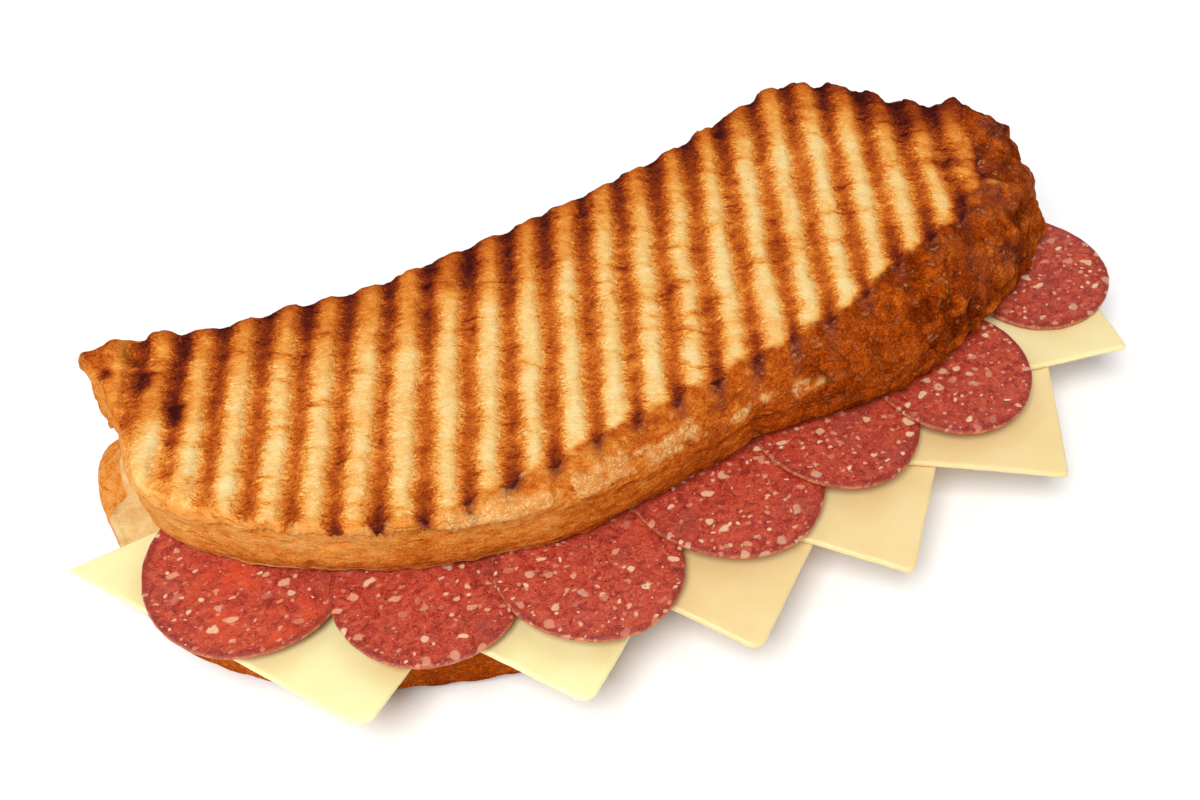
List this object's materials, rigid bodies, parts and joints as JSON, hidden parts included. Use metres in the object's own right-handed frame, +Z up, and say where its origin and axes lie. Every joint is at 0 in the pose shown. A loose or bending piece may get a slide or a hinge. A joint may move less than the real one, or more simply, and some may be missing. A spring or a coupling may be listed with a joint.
{
  "type": "toasted sandwich",
  "caption": "Long grilled bread sandwich with ridged toasted slices and a filling of cheese and salami slices fanned out along the front.",
  "frame": {"origin": "on the flat ridge of the lower slice that the sandwich rests on, under the middle of the filling", "axes": "+X along the sandwich towards the end with the single low salami slice, -Y towards the side where the filling fans out, +Z up"},
  "size_m": [0.2827, 0.1419, 0.0513],
  "materials": {
    "grilled_bread": "toasted crust",
    "lower_bread": "toasted crust",
    "cheese_1": "satin",
    "cheese_2": "satin",
    "cheese_3": "satin",
    "cheese_4": "satin",
    "cheese_5": "satin",
    "cheese_6": "satin",
    "salami_1": "satin",
    "salami_2": "satin",
    "salami_3": "satin",
    "salami_4": "satin",
    "salami_5": "satin",
    "salami_6": "satin",
    "salami_7": "satin"
  },
  "bodies": {
    "root": {"bread_top": "grilled_bread", "bread_bottom": "lower_bread", "cheese_1": "cheese_1", "cheese_2": "cheese_2", "cheese_3": "cheese_3", "cheese_4": "cheese_4", "cheese_5": "cheese_5", "cheese_6": "cheese_6", "salami_1": "salami_1", "salami_2": "salami_2", "salami_3": "salami_3", "salami_4": "salami_4", "salami_5": "salami_5", "salami_6": "salami_6", "salami_7": "salami_7"}
  },
  "joints": []
}
